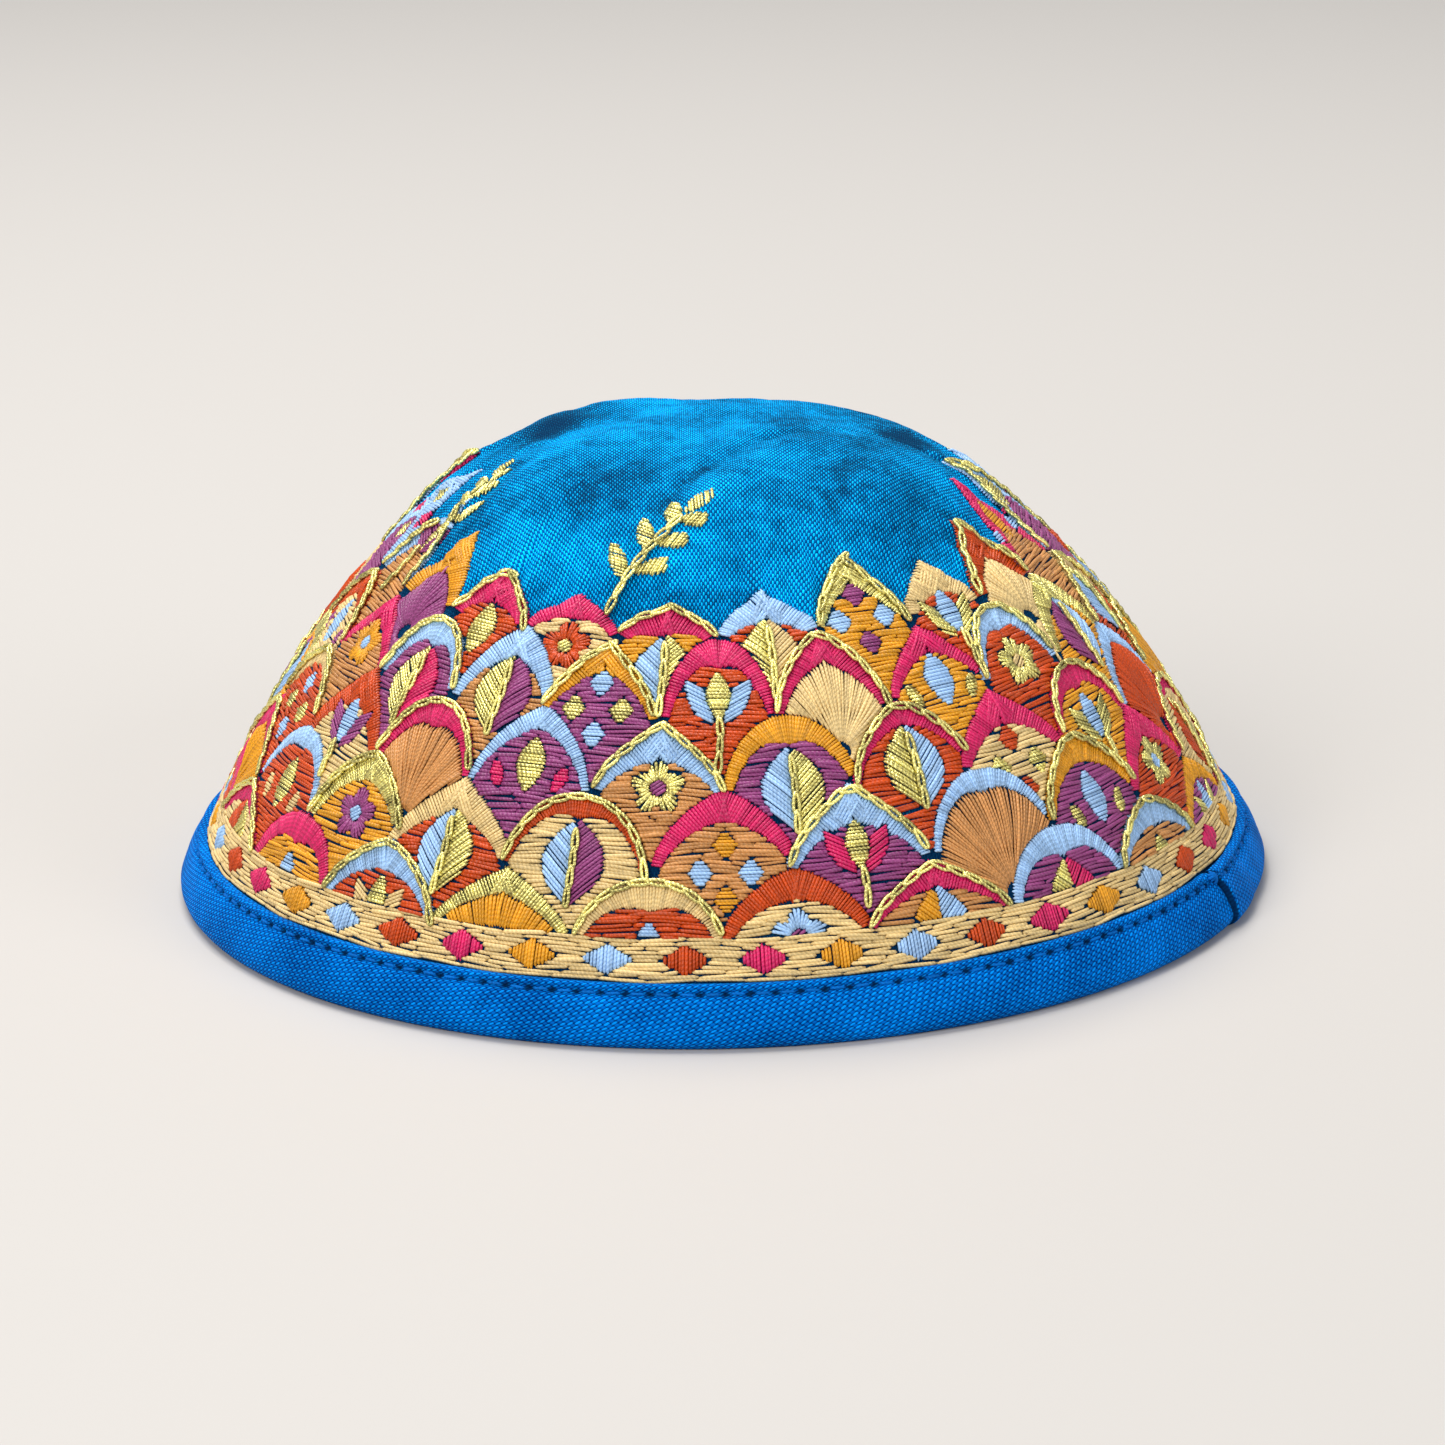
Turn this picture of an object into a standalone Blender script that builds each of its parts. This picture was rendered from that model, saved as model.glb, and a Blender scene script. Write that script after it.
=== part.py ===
"""An embroidered kippah: a low domed cloth crown, a raised field of embroidery round
its sides, and a tape folded over the rim. Metres, +Z up, resting on z = 0, with the
front towards -Y. The origin is the middle of the rim, on the surface it rests on."""

import math

import bmesh
import bpy

# Driving dimensions
RIM_RADIUS = 0.0700  # outside of the tape, where the cap is widest
CROWN_HEIGHT = 0.0588  # from the resting surface to the top of the crown
CLOTH = 0.0010  # the crown's cloth with its interlining
TAPE = 0.0010  # one leaf of the folded tape
TAPE_WIDTH = 0.0058  # the tape, measured up the wall from the crown's edge
RELIEF = 0.0007  # how thick the embroidery lies on the cloth
GAP = 0.0003  # between pieces that touch
FIELD_LIFT = 0.0005  # embroidery off the cloth, whose facets differ from its own
FLATTENING = 0.00015  # how far the tape's fold is pressed flat where it rests
SEAM_LAP = 0.0007  # how far the tape's turned-in end stands out where it laps
SEAM_LAP_LENGTH = 0.0090  # how far back along the rim the lap shows

# The middle of the crown's wall from its top to its edge, as shares of its radius and rise
MERIDIAN = (
    # reach, rise
    (0.000, 1.000),
    (0.204, 0.990),
    (0.406, 0.931),
    (0.595, 0.744),
    (0.748, 0.529),
    (0.880, 0.282),
    (1.000, 0.000),
)

# Soft folds in the crown, as straight lines seen from above
FOLDS = (
    # from azimuth, from reach, to azimuth, to reach, half width, depth;
    # lengths are shares of the crown's radius, and a depth below 0 is a ridge
    (252, 0.36, 60, 0.06, 0.085, 0.0080),
    (196, 0.58, 150, 0.26, 0.090, 0.0120),
    (350, 0.55, 30, 0.24, 0.100, 0.0110),
    (225, 0.50, 205, 0.25, 0.080, -0.0070),
    (310, 0.48, 330, 0.25, 0.080, -0.0070),
    (95, 0.55, 120, 0.22, 0.100, 0.0090),
)

# The petals along the embroidery's upper edge: a run that repeats round the cap
PETALS = 22
PETAL_TIPS = (0.69, 0.66, 0.62, 0.58, 0.56, 0.55, 0.57, 0.61, 0.58, 0.62, 0.67)
PETAL_VALLEY = 0.51  # where two petals meet; this and the tips are shares of the wall
PETAL_POINT = 0.62  # 1 is a straight-sided point, and less is fuller

SEAM_AZIMUTH = 335.0  # where the tape's turned-in end lies, in degrees from +X
AROUND = 72  # sections round the crown and the tape
CROWN_RINGS = 15
SECTIONS_PER_PETAL = 6
FIELD_RINGS = 7
FOLD_STEPS = 3  # faces round the tape's fold on each side of the flat it rests on
SHOULDER = 0.93  # the share of the tape's width below its rounded upper edge
LEAF_MIDDLE = 0.5  # the share of the tape's width halfway up a leaf
LAP_SECTIONS = (-0.05, 0.35, 0.7, 1.0)  # extra sections of the tape, as shares of the lap
CURVE_STEPS = 24  # points on the wall's line for each row of MERIDIAN

# The tape's fold is a half round about the middle of the crown's edge
FOLD_RADIUS = CLOTH / 2 + GAP + TAPE
EDGE_RADIUS = RIM_RADIUS - FOLD_RADIUS
EDGE_HEIGHT = FOLD_RADIUS - FLATTENING


def smooth_through(rows, steps):
    """Points on a smooth curve through rows of two numbers, level at the first row."""
    ends = [(-rows[1][0], rows[1][1]), *rows]
    ends.append(tuple(2 * a - b for a, b in zip(rows[-1], rows[-2])))
    points = []
    for before, start, end, after in zip(ends, ends[1:], ends[2:], ends[3:]):
        for step in range(steps):
            t = step / steps
            points.append(tuple(
                b + 0.5 * t * (c - a + t * (2 * a - 5 * b + 4 * c - d + t * (3 * (b - c) + d - a)))
                for a, b, c, d in zip(before, start, end, after)
            ))
    points.append(tuple(rows[-1]))
    return points


def wall_line():
    """The middle of the crown's wall as (length up from its edge, radius, height)."""
    rise = CROWN_HEIGHT - CLOTH / 2 - EDGE_HEIGHT
    shares = smooth_through(MERIDIAN, CURVE_STEPS)
    points = [(EDGE_RADIUS * reach, EDGE_HEIGHT + rise * up) for reach, up in shares]
    points.reverse()
    line = [(0.0, *points[0])]
    for before, after in zip(points, points[1:]):
        line.append((line[-1][0] + math.dist(before, after), *after))
    return line


WALL = wall_line()
WALL_LENGTH = WALL[-1][0]


def wall_at(length):
    """The wall's radius and height at a length up from its edge, and the way out of it."""
    length = min(max(length, 0.0), WALL_LENGTH)
    for (low, r0, z0), (high, r1, z1) in zip(WALL, WALL[1:]):
        if length <= high:
            break
    share = (length - low) / (high - low)
    along = math.dist((r0, z0), (r1, z1))
    outward = ((z1 - z0) / along, (r0 - r1) / along)
    return (r0 + share * (r1 - r0), z0 + share * (z1 - z0)), outward


def off_wall(length, out):
    """A point (radius, height) that lies off the middle of the wall by a distance."""
    (radius, height), (way_r, way_z) = wall_at(length)
    return radius + out * way_r, height + out * way_z


def fold_depth(x, y):
    """How far the folds press the crown in at a point seen from above."""
    depth = 0.0
    for from_turn, from_reach, to_turn, to_reach, width, deep in FOLDS:
        start = [EDGE_RADIUS * from_reach * f(math.radians(from_turn)) for f in (math.cos, math.sin)]
        end = [EDGE_RADIUS * to_reach * f(math.radians(to_turn)) for f in (math.cos, math.sin)]
        run = (end[0] - start[0], end[1] - start[1])
        share = ((x - start[0]) * run[0] + (y - start[1]) * run[1]) / (run[0] ** 2 + run[1] ** 2)
        share = min(max(share, 0.0), 1.0)
        away = math.dist((x, y), (start[0] + share * run[0], start[1] + share * run[1]))
        depth += EDGE_RADIUS * deep * math.exp(-((away / (EDGE_RADIUS * width)) ** 2))
    return depth


def pressed(x, y, z):
    """A point of the crown moved by the folds, towards a point low in the middle."""
    depth = fold_depth(x, y)
    centre = CROWN_HEIGHT / 4
    reach = math.dist((x, y, z), (0.0, 0.0, centre))
    keep = 1 - depth / reach
    return x * keep, y * keep, centre + (z - centre) * keep


def add_object(name, mesh, collection):
    obj = bpy.data.objects.new(name, mesh)
    collection.objects.link(obj)
    return obj


def finish(obj, colour, roughness):
    """A plain matt material of the piece's own colour, and smooth shading."""
    material = bpy.data.materials.new(obj.name)
    material.use_nodes = True
    shader = material.node_tree.nodes["Principled BSDF"]
    shader.inputs["Base Color"].default_value = (*colour, 1.0)
    shader.inputs["Roughness"].default_value = roughness
    shader.inputs["Metallic"].default_value = 0.0
    obj.data.materials.append(material)
    obj.data.shade_smooth()
    obj.data.set_sharp_from_angle(angle=math.radians(50))


def ring_of_sections(name, turns, section_at, collection):
    """One closed ring through unlike sections. section_at(turn) gives points (x, y, z)
    that run round the section anticlockwise as seen looking along the ring."""
    shape = bmesh.new()
    sections = [[shape.verts.new(p) for p in section_at(turn)] for turn in turns]
    for here, ahead in zip(sections, sections[1:] + sections[:1]):
        for i in range(len(here)):
            j = (i + 1) % len(here)
            shape.faces.new((here[i], here[j], ahead[j], ahead[i]))
    bmesh.ops.recalc_face_normals(shape, faces=shape.faces)
    mesh = bpy.data.meshes.new(name)
    shape.to_mesh(mesh)
    shape.free()
    return add_object(name, mesh, collection)


def make_crown(collection):
    """The domed cloth: its middle surface turned about Z, then folded, then thickened."""
    profile = bpy.data.meshes.new("crown_profile")
    heights = [WALL_LENGTH * (1 - i / CROWN_RINGS) for i in range(CROWN_RINGS + 1)]
    points = [wall_at(length)[0] for length in heights]
    points[0] = (0.0, points[0][1])
    edges = [(i, i + 1) for i in range(CROWN_RINGS)]
    profile.from_pydata([(radius, 0.0, height) for radius, height in points], edges, [])
    turned = add_object("crown_profile", profile, collection)
    screw = turned.modifiers.new("turn", "SCREW")
    screw.steps = AROUND
    screw.render_steps = AROUND
    screw.use_merge_vertices = True
    screw.merge_threshold = 0.00001
    graph = bpy.context.evaluated_depsgraph_get()
    mesh = bpy.data.meshes.new_from_object(turned.evaluated_get(graph))
    bpy.data.objects.remove(turned)
    for vertex in mesh.vertices:
        vertex.co = pressed(*vertex.co)
    crown = add_object("crown", mesh, collection)
    wall = crown.modifiers.new("cloth", "SOLIDIFY")
    wall.thickness = CLOTH
    wall.offset = 0.0
    wall.use_even_offset = True
    finish(crown, (0.004, 0.262, 0.641), 0.6)
    return crown


def fold_points():
    """The outside of the tape's fold from its outer to its inner leaf: a round on each
    side of the flat that it rests on."""
    _, (way_r, way_z) = wall_at(0.0)
    outer_turn = math.atan2(way_z, way_r)
    inner_turn = outer_turn - math.pi
    flat = math.acos(EDGE_HEIGHT / FOLD_RADIUS)
    points = []
    for start, end in ((outer_turn, flat - math.pi / 2), (-flat - math.pi / 2, inner_turn)):
        for step in range(FOLD_STEPS + 1):
            turn = start + (end - start) * step / FOLD_STEPS
            height = EDGE_HEIGHT + FOLD_RADIUS * math.sin(turn)
            points.append((EDGE_RADIUS + FOLD_RADIUS * math.cos(turn), height))
    return points


def lap_at(turn):
    """How far the turned-in end lifts the outer leaf at an azimuth in degrees."""
    back = math.radians((turn - SEAM_AZIMUTH) % 360) * EDGE_RADIUS
    if back > SEAM_LAP_LENGTH:
        return 0.0
    return SEAM_LAP * (1 - back / SEAM_LAP_LENGTH) ** 0.5


def tape_section(turn):
    """The tape cut across at an azimuth: an outer leaf, the fold, an inner leaf and the
    slot between them that holds the crown's edge."""
    slot = CLOTH / 2 + GAP
    lap = lap_at(turn)
    outer = [off_wall(TAPE_WIDTH * share, FOLD_RADIUS + lap) for share in (SHOULDER, LEAF_MIDDLE)]
    fold = [(r + lap * max(r - EDGE_RADIUS, 0.0) / FOLD_RADIUS, z) for r, z in fold_points()]
    inner = [off_wall(TAPE_WIDTH * share, -FOLD_RADIUS) for share in (LEAF_MIDDLE, SHOULDER)]
    inner_lip = [off_wall(TAPE_WIDTH, -slot - TAPE / 2), off_wall(TAPE_WIDTH, -slot)]
    (edge_r, edge_z), (way_r, way_z) = wall_at(0.0)
    floor = (edge_r + GAP * way_z, edge_z - GAP * way_r)
    slot_floor = [(floor[0] + side * slot * way_r, floor[1] + side * slot * way_z) for side in (-1, 1)]
    slot_middle = [off_wall(TAPE_WIDTH * LEAF_MIDDLE, side * slot) for side in (-1, 1)]
    outer_lip = [off_wall(TAPE_WIDTH, slot), off_wall(TAPE_WIDTH, slot + TAPE / 2)]
    points = [*outer, *fold, *inner, *inner_lip, slot_middle[0], *slot_floor, slot_middle[1], *outer_lip]
    angle = math.radians(turn)
    return [(r * math.cos(angle), r * math.sin(angle), z) for r, z in points]


def make_rim_tape(collection):
    """The tape folded over the crown's edge; its turned-in end laps over its start."""
    step = 360 / AROUND
    lap_turn = math.degrees(SEAM_LAP_LENGTH / EDGE_RADIUS)
    turns = {(SEAM_AZIMUTH + i * step) % 360 for i in range(AROUND)}
    turns |= {(SEAM_AZIMUTH + lap_turn * share) % 360 for share in LAP_SECTIONS}
    tape = ring_of_sections("rim_tape", sorted(turns), tape_section, collection)
    finish(tape, (0.005, 0.12, 0.479), 0.75)
    return tape


def skyline(turn):
    """The embroidery's upper edge at an azimuth, as a length up the wall."""
    place = turn / 360 * PETALS
    nearest = round(place)
    aside = min(abs(place - nearest) * 2, 1.0)
    tip = PETAL_TIPS[nearest % PETALS % len(PETAL_TIPS)]
    share = PETAL_VALLEY + (tip - PETAL_VALLEY) * (1 - aside) ** PETAL_POINT
    return WALL_LENGTH * share


def field_section(turn):
    """The embroidery cut across at an azimuth: its back lies on the cloth, and it thins
    out to its upper edge."""
    angle = math.radians(turn)
    back = CLOTH / 2 + FIELD_LIFT
    low = TAPE_WIDTH + GAP
    high = skyline(turn)
    lengths = [low + (high - low) * i / FIELD_RINGS for i in range(FIELD_RINGS + 1)]
    points = [off_wall(length, back) for length in lengths]
    front = [off_wall(length, back + RELIEF) for length in lengths[:-1]]
    front.append(off_wall(high - RELIEF / 2, back + RELIEF * 0.6))
    points += reversed(front)
    return [pressed(r * math.cos(angle), r * math.sin(angle), z) for r, z in points]


def make_embroidery(collection):
    """The stitched field round the sides, from the tape up to its petalled edge."""
    count = PETALS * SECTIONS_PER_PETAL
    turns = [360 * i / count for i in range(count)]
    field = ring_of_sections("embroidery", turns, field_section, collection)
    finish(field, (0.52, 0.36, 0.15), 0.5)
    return field


def main():
    for obj in list(bpy.data.objects):
        bpy.data.objects.remove(obj)
    kippah = bpy.data.collections.new("embroidered_kippah")
    bpy.context.scene.collection.children.link(kippah)
    make_crown(kippah)
    make_embroidery(kippah)
    make_rim_tape(kippah)


main()
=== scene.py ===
"""An embroidered kippah resting on its rim: a low dome of azure cloth, a field of stitched
petals round its sides, and a bias tape folded over the rim. Its front is towards -Y."""

import math

import bpy
import numpy as np
from mathutils import Matrix, Vector


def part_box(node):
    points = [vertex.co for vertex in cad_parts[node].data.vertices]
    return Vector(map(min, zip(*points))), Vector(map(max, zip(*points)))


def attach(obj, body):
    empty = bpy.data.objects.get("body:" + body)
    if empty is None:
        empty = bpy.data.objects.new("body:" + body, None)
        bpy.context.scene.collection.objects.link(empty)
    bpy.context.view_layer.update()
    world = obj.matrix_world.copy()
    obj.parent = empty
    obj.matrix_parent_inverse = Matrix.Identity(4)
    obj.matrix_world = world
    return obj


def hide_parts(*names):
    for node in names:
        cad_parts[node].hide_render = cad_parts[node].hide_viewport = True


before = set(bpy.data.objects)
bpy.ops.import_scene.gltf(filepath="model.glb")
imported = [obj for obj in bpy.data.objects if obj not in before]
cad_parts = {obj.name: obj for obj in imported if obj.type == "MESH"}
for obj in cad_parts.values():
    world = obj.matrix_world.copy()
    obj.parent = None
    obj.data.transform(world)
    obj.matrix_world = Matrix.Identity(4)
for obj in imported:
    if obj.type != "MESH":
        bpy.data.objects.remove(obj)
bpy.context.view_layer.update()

chance = np.random.default_rng(613)

# Crown
# One round of azure plain-woven cloth on its interlining, pressed over a form into a low
# dome. It carries the embroidery, which puckers it a little, and the tape holds its edge.
MM = 0.001
CLOTH = 1.0 * MM
TAPE = 1.0 * MM
TAPE_WIDTH = 5.8 * MM
GAP = 0.3 * MM
PRESSED_FLAT = 0.15 * MM
CROWN_HEIGHT = 58.8 * MM
FOLD_RADIUS = CLOTH / 2 + GAP + TAPE
EDGE_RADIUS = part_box("rim_tape")[1].x - FOLD_RADIUS
EDGE_HEIGHT = FOLD_RADIUS - PRESSED_FLAT
MERIDIAN = np.array((
    # reach, rise: the middle of the wall from its top, as shares of the crown's radius and rise
    (0.000, 1.000),
    (0.204, 0.990),
    (0.406, 0.931),
    (0.595, 0.744),
    (0.748, 0.529),
    (0.880, 0.282),
    (1.000, 0.000),
))
CURVE_STEPS = 24


def length_along(across, rise):
    """The length so far at each point of a line, from its steps in two directions."""
    return np.concatenate(([0.0], np.cumsum(np.hypot(across, rise))))


def smooth_through(rows, steps):
    """Points on a smooth curve through the rows, level at the first one."""
    ends = np.vstack((rows[1] * (-1, 1), rows, 2 * rows[-1] - rows[-2]))
    t = np.arange(steps)[:, None] / steps
    pieces = []
    for a, b, c, d in zip(ends, ends[1:], ends[2:], ends[3:]):
        bend = 2 * a - 5 * b + 4 * c - d + t * (3 * (b - c) + d - a)
        pieces.append(b + 0.5 * t * (c - a + t * bend))
    pieces.append(rows[-1:])
    return np.vstack(pieces)


shares = smooth_through(MERIDIAN, CURVE_STEPS)[::-1]
wall_radius = EDGE_RADIUS * shares[:, 0]
wall_height = EDGE_HEIGHT + (CROWN_HEIGHT - CLOTH / 2 - EDGE_HEIGHT) * shares[:, 1]
wall_up = length_along(np.diff(wall_radius), np.diff(wall_height))
WALL_LENGTH = wall_up[-1]
wall_out_radius = np.gradient(wall_height, wall_up)
wall_out_height = -np.gradient(wall_radius, wall_up)

FOLDS = (
    # from azimuth, from reach, to azimuth, to reach, half width, depth: the large folds of
    # the pressed cloth, in shares of the crown's radius, where a depth below 0 is a ridge
    (252, 0.36, 60, 0.06, 0.085, 0.0080),
    (196, 0.58, 150, 0.26, 0.090, 0.0120),
    (350, 0.55, 30, 0.24, 0.100, 0.0110),
    (225, 0.50, 205, 0.25, 0.080, -0.0070),
    (310, 0.48, 330, 0.25, 0.080, -0.0070),
    (95, 0.55, 120, 0.22, 0.100, 0.0090),
)
FOLD_CENTRE = CROWN_HEIGHT / 4
CREASES = (
    # the same for the small creases between them, whose valleys also get painted shade
    (256, 0.40, 318, 0.14, 0.026, 0.0080),
    (318, 0.14, 350, 0.22, 0.020, 0.0045),
    (268, 0.40, 314, 0.22, 0.036, -0.0070),
    (142, 0.36, 112, 0.36, 0.090, -0.0170),
    (170, 0.53, 160, 0.47, 0.070, -0.0100),
    (238, 0.46, 226, 0.30, 0.020, 0.0035),
    (226, 0.30, 200, 0.24, 0.022, 0.0030),
    (300, 0.44, 318, 0.33, 0.022, 0.0045),
    (318, 0.33, 345, 0.30, 0.024, 0.0030),
    (206, 0.55, 196, 0.36, 0.026, 0.0040),
    (188, 0.50, 176, 0.33, 0.022, -0.0035),
    (352, 0.50, 8, 0.34, 0.022, 0.0040),
    (60, 0.48, 80, 0.25, 0.025, 0.0040),
    (128, 0.52, 140, 0.28, 0.024, 0.0040),
    (160, 0.45, 100, 0.18, 0.026, -0.0030),
)


def fold_depth(x, y, rows):
    """How far the folds press the cloth in at points seen from above."""
    depth = np.zeros_like(x)
    for from_turn, from_reach, to_turn, to_reach, width, deep in rows:
        start, end = (
            EDGE_RADIUS * reach * np.array((math.cos(math.radians(turn)), math.sin(math.radians(turn))))
            for turn, reach in ((from_turn, from_reach), (to_turn, to_reach))
        )
        run = end - start
        share = np.clip(((x - start[0]) * run[0] + (y - start[1]) * run[1]) / (run @ run), 0, 1)
        away = np.hypot(x - start[0] - share * run[0], y - start[1] - share * run[1])
        depth += EDGE_RADIUS * deep * np.exp(-((away / (EDGE_RADIUS * width)) ** 2))
    return depth


def off_wall(up, out):
    """The radius and height at a length up the wall and a height off its middle."""
    up = np.clip(up, 0, WALL_LENGTH)
    radius = np.interp(up, wall_up, wall_radius) + out * np.interp(up, wall_up, wall_out_radius)
    height = np.interp(up, wall_up, wall_height) + out * np.interp(up, wall_up, wall_out_height)
    return radius, height


def on_wall(turn, up, out):
    """Points (x, y, z) at an azimuth in radians, a length up the wall and a height off it."""
    radius, height = off_wall(up, out)
    x = radius * np.cos(turn)
    y = radius * np.sin(turn)
    depth = fold_depth(x, y, FOLDS + CREASES)
    keep = 1 - depth / np.sqrt(x * x + y * y + (height - FOLD_CENTRE) ** 2)
    return np.stack((x * keep, y * keep, FOLD_CENTRE + (height - FOLD_CENTRE) * keep), axis=-1)


PETALS = 22
PETAL_TIPS = np.array((0.69, 0.66, 0.62, 0.58, 0.56, 0.55, 0.57, 0.61, 0.58, 0.62, 0.67))
PETAL_VALLEY = 0.51
PETAL_POINT = 0.62


def skyline(turn):
    """The embroidery's upper edge at an azimuth (radians), as a length up the wall."""
    place = turn / math.tau * PETALS
    nearest = np.round(place).astype(int)
    aside = np.minimum(np.abs(place - nearest) * 2, 1)
    tip = PETAL_TIPS[nearest % PETALS % len(PETAL_TIPS)]
    return WALL_LENGTH * (PETAL_VALLEY + (tip - PETAL_VALLEY) * (1 - aside) ** PETAL_POINT)


def ripples(shortest, longest, count):
    """A few plane waves with chance directions, as rows of a wave vector and a phase."""
    way = chance.normal(size=(count, 3))
    way /= np.linalg.norm(way, axis=1)[:, None]
    length = chance.uniform(shortest, longest, count)
    return way * (math.tau / length)[:, None], chance.uniform(0, math.tau, count)


QUILTING = ripples(5 * MM, 13 * MM, 16)
DRAPE = ripples(14 * MM, 45 * MM, 14)
PUCKERS = list(zip((31, 43, 57, 68, 83), chance.uniform(0, math.tau, 5)))
QUILTING_DEPTH = 0.10 * MM
DRAPE_DEPTH = 0.16 * MM
PUCKER_DEPTH = 0.13 * MM
PUCKER_REACH = 7 * MM
PUCKER_BENDS = 7
PUCKER_BEND = 2.2
QUILTING_FADE = 8 * MM
EDGE_CALM = 12 * MM


def swell(points, waves):
    """The sum of the waves at the points, about -1 to 1."""
    vectors, phases = waves
    total = np.zeros(points.shape[:-1])
    for vector, phase in zip(vectors, phases):
        total += np.cos(points @ vector + phase)
    return total / math.sqrt(2 * len(phases))


def cloth_relief(turn, up):
    """How far the cloth stands out of its smooth form: quilted where it is stitched,
    puckered just above that, and softly uneven where it is bare."""
    smooth = on_wall(turn, up, np.zeros_like(up))
    above = up - skyline(turn)
    bare = np.clip(above / QUILTING_FADE + 0.5, 0, 1)
    puckers = sum(np.cos(count * turn + phase + PUCKER_BEND * np.sin(PUCKER_BENDS * turn + phase))
                  for count, phase in PUCKERS)
    fade = np.exp(-np.abs(above) / PUCKER_REACH)
    near_edge = np.clip(up / EDGE_CALM, 0, 1)
    return near_edge * (
        QUILTING_DEPTH * (1 - bare) * swell(smooth, QUILTING)
        + DRAPE_DEPTH * bare * swell(smooth, DRAPE)
        + PUCKER_DEPTH * fade * puckers
    )


def deselect_all():
    """Selects nothing, so that the next operator starts clean."""
    for obj in bpy.context.selected_objects:
        obj.select_set(False)


def settle(obj, modifiers=()):
    """Selects one piece alone and applies its modifiers."""
    deselect_all()
    obj.select_set(True)
    bpy.context.view_layer.objects.active = obj
    for modifier in modifiers:
        bpy.ops.object.modifier_apply(modifier=modifier)


def mesh_points(mesh):
    """A mesh's points as rows of (x, y, z)."""
    points = np.empty(len(mesh.vertices) * 3, np.float32)
    mesh.vertices.foreach_get("co", points)
    return points.reshape(-1, 3).astype(float)


def set_mesh_points(mesh, points):
    """Moves a mesh's points to rows of (x, y, z)."""
    mesh.vertices.foreach_set("co", np.ascontiguousarray(points, np.float32).ravel())
    mesh.update()


def lay_weave(mesh, flat):
    """The weave map: each corner gets its point's place on the cloth laid flat."""
    while mesh.uv_layers:
        mesh.uv_layers.remove(mesh.uv_layers[0])
    corners = np.empty(len(mesh.loops), np.int32)
    mesh.loops.foreach_get("vertex_index", corners)
    mesh.uv_layers.new(name="weave").data.foreach_set("uv", flat[corners].astype(np.float32).ravel())


def mark_points(mesh, name, values):
    """Stores one number a point, for the materials to read."""
    mesh.attributes.new(name, "FLOAT", "POINT").data.foreach_set("value", values.astype(np.float32))


CROWN_SECTIONS = 336
CROWN_RINGS = 92
DEEP_CREASE = 0.9 * MM
CREASE_SHADE = 0.8
SHADE_PATCHES = (
    # azimuth in degrees, share up the wall, half width in degrees, half height, strength:
    # patches of painted shade on the pressed cloth, and a painted highlight over the top where it is below 0
    (270, 0.93, 400, 0.075, -0.65),
    (160, 0.77, 26, 0.045, 0.95),
    (6, 0.74, 18, 0.055, 0.95),
    (228, 0.71, 18, 0.040, 0.30),
    (256, 0.67, 14, 0.030, 0.24),
    (292, 0.69, 12, 0.030, 0.42),
    (318, 0.75, 14, 0.035, 0.33),
    (272, 0.80, 20, 0.030, 0.26),
    (60, 0.75, 24, 0.060, 0.45),
    (105, 0.70, 22, 0.050, 0.42),
)

deselect_all()
bpy.ops.mesh.primitive_uv_sphere_add(segments=CROWN_SECTIONS, ring_count=2 * CROWN_RINGS, radius=1)
crown = bpy.context.object
crown.name = "crown_cloth"
crown.data.name = "crown_cloth"
bpy.ops.object.mode_set(mode="EDIT")
bpy.ops.mesh.select_all(action="DESELECT")
bpy.ops.object.mode_set(mode="OBJECT")
for vertex in crown.data.vertices:
    vertex.select = vertex.co.z < -0.5 / CROWN_RINGS
bpy.ops.object.mode_set(mode="EDIT")
bpy.ops.mesh.delete(type="VERT")
bpy.ops.object.mode_set(mode="OBJECT")

ball = mesh_points(crown.data)
crown_turn = np.arctan2(ball[:, 1], ball[:, 0])
crown_up = WALL_LENGTH * (1 - np.arccos(np.clip(ball[:, 2], 0, 1)) / (math.pi / 2))
set_mesh_points(crown.data, on_wall(crown_turn, crown_up, cloth_relief(crown_turn, crown_up)))
flat = (WALL_LENGTH - crown_up)[:, None] * np.stack((np.cos(crown_turn), np.sin(crown_turn)), axis=1)
lay_weave(crown.data, flat)
thicken = crown.modifiers.new("cloth", "SOLIDIFY")
thicken.thickness = CLOTH
thicken.offset = 0
thicken.use_even_offset = True
# Painted shade on the crown's outer face: darker in the creases' valleys and the patches above, a painted
# highlight over the top, and dark under the embroidery, where the gaps between stitches lie in shade. The
# inner face gets none.
shade = np.clip(fold_depth(*(flat.T), CREASES) / DEEP_CREASE, 0, 1)
for at, share_up, half_width, half_height, strength in SHADE_PATCHES:
    aside = ((np.degrees(crown_turn) - at + 180) % 360 - 180) / half_width
    above = (crown_up / WALL_LENGTH - share_up) / half_height
    shade = shade + strength * np.exp(-aside ** 2 - above ** 2)
shade_under_stitches = 0.5 - (crown_up - skyline(crown_turn)) / MM
outer_shade = np.clip(np.maximum(CREASE_SHADE * shade, shade_under_stitches), -1, 1)
settle(crown, ["cloth"])
mark_points(crown.data, "shaded", np.concatenate((outer_shade, 0 * outer_shade)))
bpy.ops.object.shade_smooth()


def feed(tree, node, feeds):
    """Gives a node its inputs, which are values or other sockets."""
    for socket, value in dict(feeds).items():
        if isinstance(value, bpy.types.NodeSocket):
            tree.links.new(value, node.inputs[socket])
        else:
            node.inputs[socket].default_value = value


def add_node(tree, kind, feeds=(), **settings):
    """One shader node with its settings and its inputs."""
    node = tree.nodes.new("ShaderNode" + kind)
    for name, value in settings.items():
        setattr(node, name, value)
    feed(tree, node, feeds)
    return node


def maths(tree, operation, *values):
    """One Math node's output, where a tuple among the values is another Math node."""
    values = [maths(tree, *value) if isinstance(value, tuple) else value for value in values]
    return add_node(tree, "Math", enumerate(values), operation=operation).outputs[0]


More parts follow.
